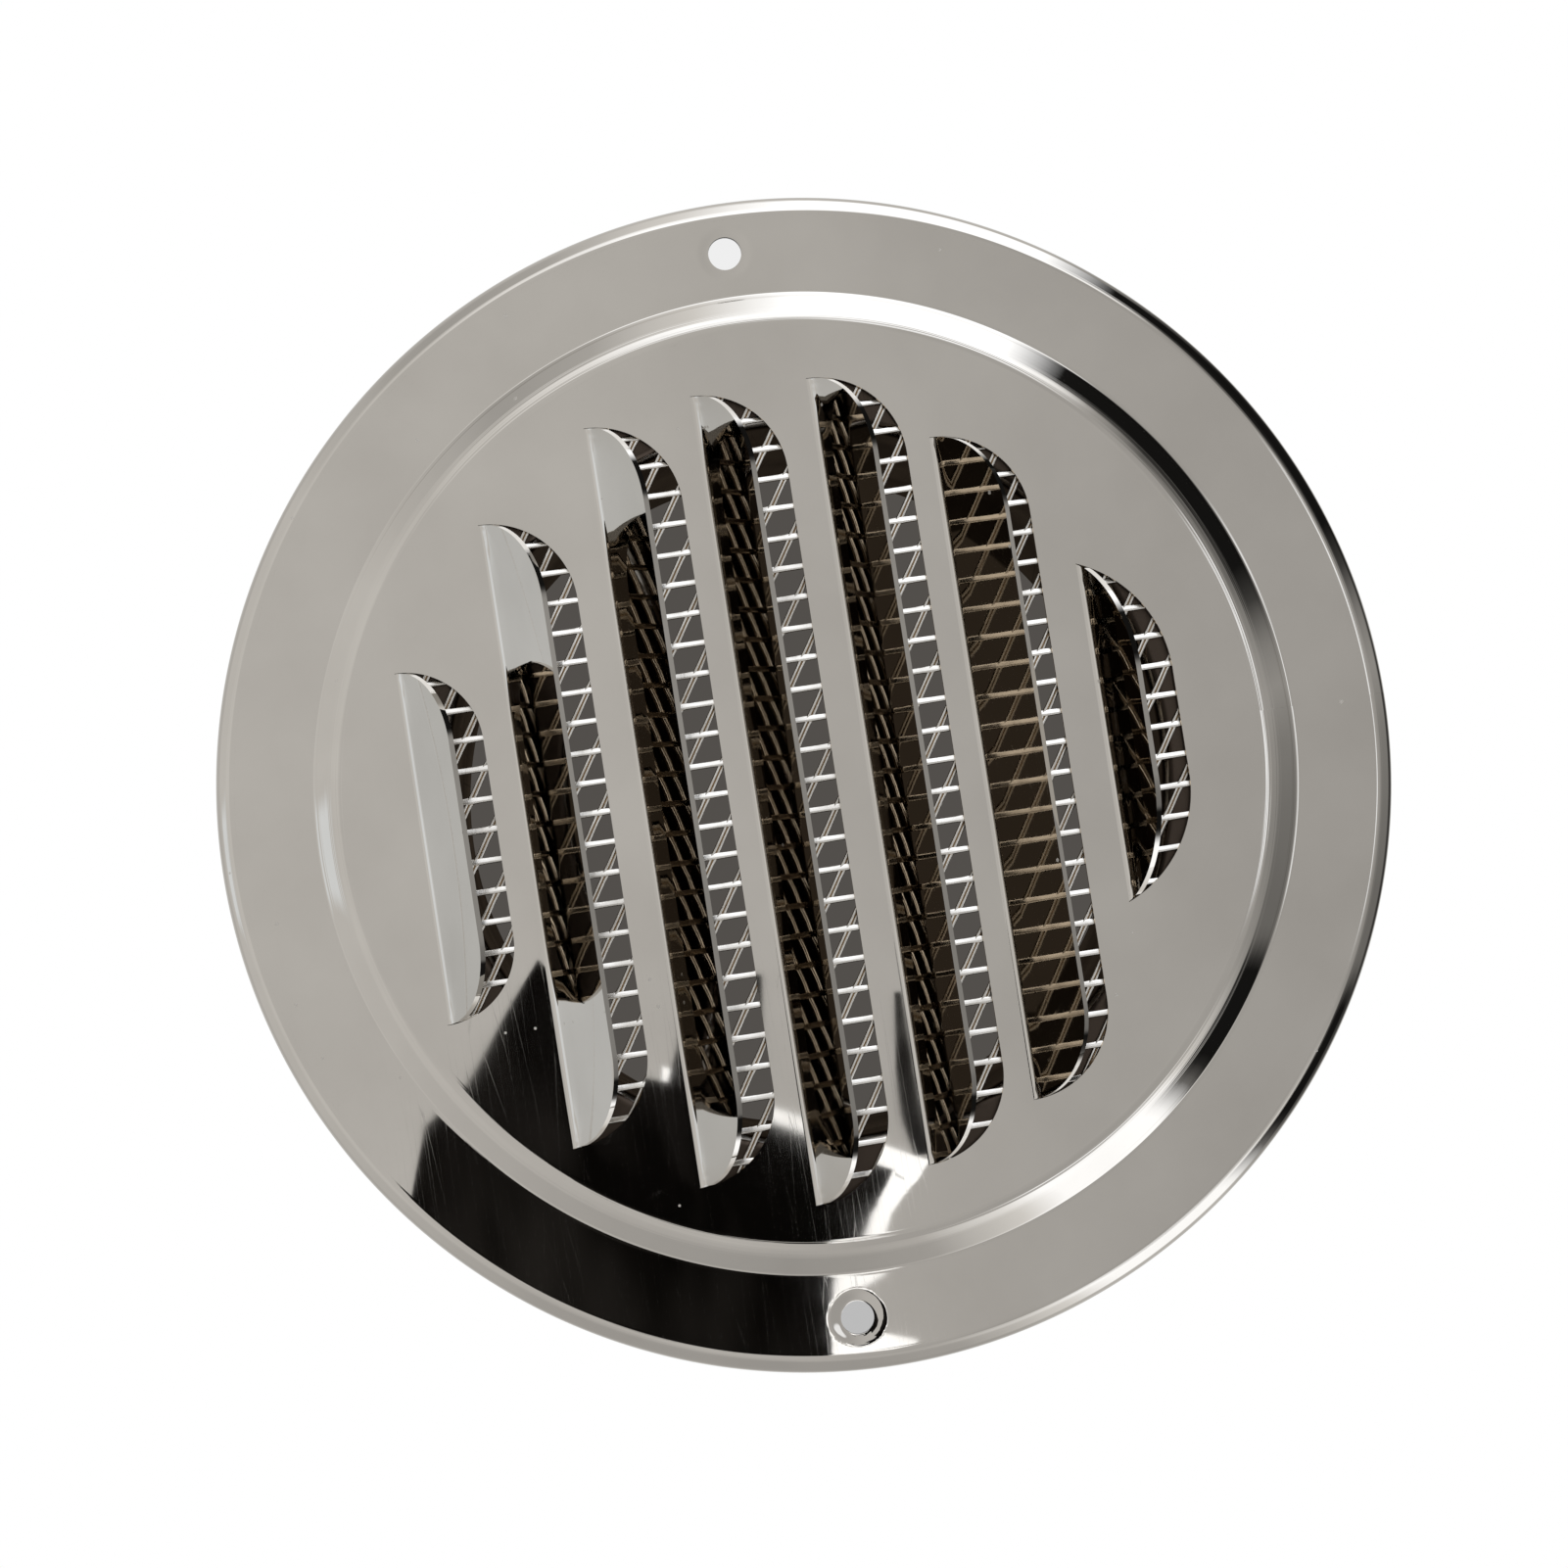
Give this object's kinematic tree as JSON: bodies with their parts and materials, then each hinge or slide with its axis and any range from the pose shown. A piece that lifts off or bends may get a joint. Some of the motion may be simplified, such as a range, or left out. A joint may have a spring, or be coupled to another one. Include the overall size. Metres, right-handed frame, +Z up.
{
  "type": "round vent cover",
  "caption": "Round stainless steel louvred vent cover with a rolled rim, outward-bent louvre flaps, insect mesh and a rear collar that slips into a duct.",
  "frame": {"origin": "duct axis at the wall plane, where the back edge of the rim meets the wall", "axes": "+Z up as fixed to a wall with the louvre openings facing down, -Y into the room, +Y along the collar into the duct"},
  "size_m": [0.16, 0.0699, 0.16],
  "materials": {
    "polished_steel": "mirror polished stainless steel",
    "mesh_steel": "bright expanded metal",
    "collar_steel": "mill finish stainless steel"
  },
  "bodies": {
    "root": {"face_plate": "polished_steel", "louvre_1": "polished_steel", "louvre_2": "polished_steel", "louvre_3": "polished_steel", "louvre_4": "polished_steel", "louvre_5": "polished_steel", "louvre_6": "polished_steel", "louvre_7": "polished_steel", "insect_mesh": "mesh_steel", "duct_collar": "collar_steel"}
  },
  "joints": []
}
